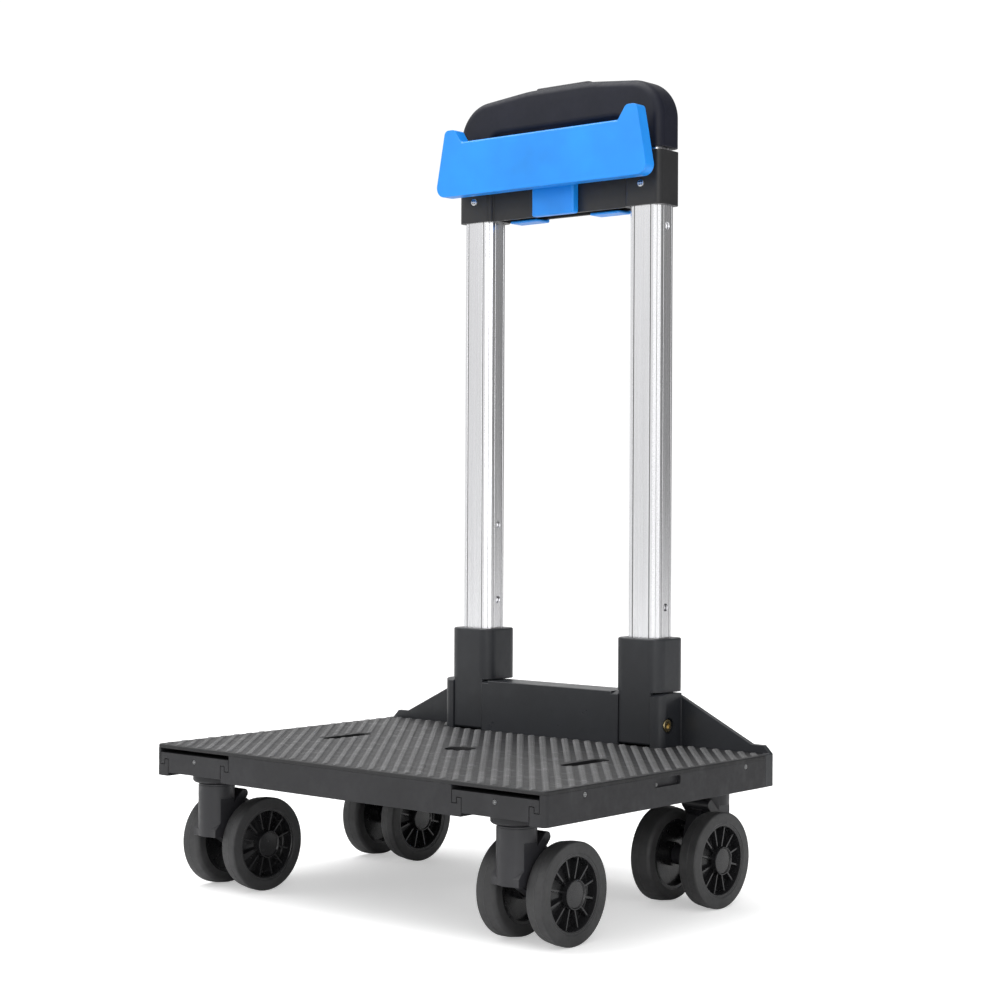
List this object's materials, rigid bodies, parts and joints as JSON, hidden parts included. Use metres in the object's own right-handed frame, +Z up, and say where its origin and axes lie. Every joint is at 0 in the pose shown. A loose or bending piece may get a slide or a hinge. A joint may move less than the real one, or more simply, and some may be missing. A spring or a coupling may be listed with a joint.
{
  "type": "folding platform cart",
  "caption": "Folding platform cart with a ribbed flat deck, pull-out front arms, twin-wheel swivel casters, a fold-down telescopic handle and a bag hook plate.",
  "frame": {"origin": "on the ground under the centre of the cart's bounding box", "axes": "+Z up, +X across the deck to the right as seen from the open front, +Y from the open front edge towards the mast"},
  "size_m": [0.42, 0.3015, 0.6867],
  "materials": {
    "platform_plastic": "fine-grained black moulded plastic",
    "deck_plastic": "black moulded plastic with a fine raised anti-slip pattern",
    "mast_foot_plastic": "dark grey satin moulded plastic",
    "brass_plated": "yellow zinc-plated bolt",
    "zinc_steel": "bright zinc-plated steel",
    "bright_chrome": "polished chrome",
    "caster_plastic": "black moulded nylon",
    "tyre_rubber": "matt dark rubber",
    "hub_plastic": "glossy black moulded plastic",
    "tube_aluminium": "satin anodised aluminium",
    "blue_plastic": "satin light blue moulded plastic",
    "grip_soft": "soft-touch dark navy",
    "grip_trim": "satin dark navy plastic",
    "guide_plastic": "black nylon",
    "pin_steel": "turned steel",
    "push_bar_plastic": "glass-filled nylon"
  },
  "bodies": {
    "base": {"base_frame": "platform_plastic", "deck_panel": "deck_plastic", "mast_bracket": "mast_foot_plastic", "hinge_bolts": "brass_plated", "hinge_nuts": "zinc_steel", "base_screws": "zinc_steel", "side_screws": "zinc_steel"},
    "arm_left": {"front_arm_left": "platform_plastic", "arm_screw_left": "zinc_steel"},
    "arm_right": {"front_arm_right": "platform_plastic", "arm_screw_right": "zinc_steel"},
    "mast": {"foot_left": "mast_foot_plastic", "foot_right": "mast_foot_plastic", "foot_screws": "zinc_steel", "outer_tube_left": "tube_aluminium", "outer_tube_right": "tube_aluminium", "crossbar": "mast_foot_plastic", "collar_screws": "bright_chrome", "hook_plate": "blue_plastic"},
    "handle": {"inner_tube_left": "tube_aluminium", "inner_tube_right": "tube_aluminium", "lock_housing_left": "guide_plastic", "lock_housing_right": "guide_plastic", "grip_upper": "grip_soft", "grip_lower": "grip_trim", "grip_screws": "zinc_steel", "button_spring": "pin_steel"},
    "release": {"button": "grip_trim", "push_bar": "push_bar_plastic"},
    "pin_left": {"lock_pin_left": "pin_steel"},
    "pin_right": {"lock_pin_right": "pin_steel"},
    "caster_front_left": {"caster_body_front_left": "caster_plastic", "kingpin_front_left": "zinc_steel", "axle_front_left": "zinc_steel"},
    "wheel_front_left_inner": {"tyre_front_left_inner": "tyre_rubber", "wheel_front_left_inner": "hub_plastic"},
    "wheel_front_left_outer": {"tyre_front_left_outer": "tyre_rubber", "wheel_front_left_outer": "hub_plastic"},
    "caster_front_right": {"caster_body_front_right": "caster_plastic", "kingpin_front_right": "zinc_steel", "axle_front_right": "zinc_steel"},
    "wheel_front_right_inner": {"tyre_front_right_inner": "tyre_rubber", "wheel_front_right_inner": "hub_plastic"},
    "wheel_front_right_outer": {"tyre_front_right_outer": "tyre_rubber", "wheel_front_right_outer": "hub_plastic"},
    "caster_rear_left": {"caster_body_rear_left": "caster_plastic", "kingpin_rear_left": "zinc_steel", "axle_rear_left": "zinc_steel"},
    "wheel_rear_left_inner": {"tyre_rear_left_inner": "tyre_rubber", "wheel_rear_left_inner": "hub_plastic"},
    "wheel_rear_left_outer": {"tyre_rear_left_outer": "tyre_rubber", "wheel_rear_left_outer": "hub_plastic"},
    "caster_rear_right": {"caster_body_rear_right": "caster_plastic", "kingpin_rear_right": "zinc_steel", "axle_rear_right": "zinc_steel"},
    "wheel_rear_right_inner": {"tyre_rear_right_inner": "tyre_rubber", "wheel_rear_right_inner": "hub_plastic"},
    "wheel_rear_right_outer": {"tyre_rear_right_outer": "tyre_rubber", "wheel_rear_right_outer": "hub_plastic"}
  },
  "joints": [
    {"name": "mast_fold", "type": "hinge", "parent": "base", "child": "mast", "pos_m": [0, 0.1205, 0.1385], "axis": [1, 0, 0], "range_deg": [0, 90]},
    {"name": "handle_slide", "type": "slide", "parent": "mast", "child": "handle", "axis": [0, 0, 1], "range_m": [0, 0.32]},
    {"name": "button_press", "type": "slide", "parent": "handle", "child": "release", "axis": [0, 0, -1], "range_m": [0, 0.003], "stiffness_N_per_m": 900, "springref_m": -0.004, "deforming": ["button_spring"]},
    {"name": "pin_left_slide", "type": "slide", "parent": "handle", "child": "pin_left", "axis": [1, 0, 0], "range_m": [0, 0.00225]},
    {"name": "pin_right_slide", "type": "slide", "parent": "handle", "child": "pin_right", "axis": [-1, 0, 0], "range_m": [0, 0.00225]},
    {"name": "arm_left_slide", "type": "slide", "parent": "base", "child": "arm_left", "axis": [0, -1, 0], "range_m": [0, 0.12]},
    {"name": "arm_right_slide", "type": "slide", "parent": "base", "child": "arm_right", "axis": [0, -1, 0], "range_m": [0, 0.12]},
    {"name": "swivel_front_left", "type": "hinge", "parent": "arm_left", "child": "caster_front_left", "pos_m": [-0.163, -0.124, 0.0975], "axis": [0, 0, 1], "continuous": true},
    {"name": "spin_front_left_inner", "type": "hinge", "parent": "caster_front_left", "child": "wheel_front_left_inner", "pos_m": [-0.163, -0.095, 0.0386], "axis": [1, 0, 0], "continuous": true},
    {"name": "spin_front_left_outer", "type": "hinge", "parent": "caster_front_left", "child": "wheel_front_left_outer", "pos_m": [-0.163, -0.095, 0.0386], "axis": [1, 0, 0], "continuous": true},
    {"name": "swivel_front_right", "type": "hinge", "parent": "arm_right", "child": "caster_front_right", "pos_m": [0.163, -0.124, 0.0975], "axis": [0, 0, 1], "continuous": true},
    {"name": "spin_front_right_inner", "type": "hinge", "parent": "caster_front_right", "child": "wheel_front_right_inner", "pos_m": [0.163, -0.095, 0.0386], "axis": [1, 0, 0], "continuous": true},
    {"name": "spin_front_right_outer", "type": "hinge", "parent": "caster_front_right", "child": "wheel_front_right_outer", "pos_m": [0.163, -0.095, 0.0386], "axis": [1, 0, 0], "continuous": true},
    {"name": "swivel_rear_left", "type": "hinge", "parent": "base", "child": "caster_rear_left", "pos_m": [-0.163, 0.1225, 0.0975], "axis": [0, 0, 1], "continuous": true},
    {"name": "spin_rear_left_inner", "type": "hinge", "parent": "caster_rear_left", "child": "wheel_rear_left_inner", "pos_m": [-0.163, 0.0935, 0.0386], "axis": [1, 0, 0], "continuous": true},
    {"name": "spin_rear_left_outer", "type": "hinge", "parent": "caster_rear_left", "child": "wheel_rear_left_outer", "pos_m": [-0.163, 0.0935, 0.0386], "axis": [1, 0, 0], "continuous": true},
    {"name": "swivel_rear_right", "type": "hinge", "parent": "base", "child": "caster_rear_right", "pos_m": [0.163, 0.1225, 0.0975], "axis": [0, 0, 1], "continuous": true},
    {"name": "spin_rear_right_inner", "type": "hinge", "parent": "caster_rear_right", "child": "wheel_rear_right_inner", "pos_m": [0.163, 0.0935, 0.0386], "axis": [1, 0, 0], "continuous": true},
    {"name": "spin_rear_right_outer", "type": "hinge", "parent": "caster_rear_right", "child": "wheel_rear_right_outer", "pos_m": [0.163, 0.0935, 0.0386], "axis": [1, 0, 0], "continuous": true}
  ],
  "couplings": [
    {"joint": "pin_left_slide", "follows": "button_press", "ratio": 0.75},
    {"joint": "pin_right_slide", "follows": "button_press", "ratio": 0.75}
  ]
}
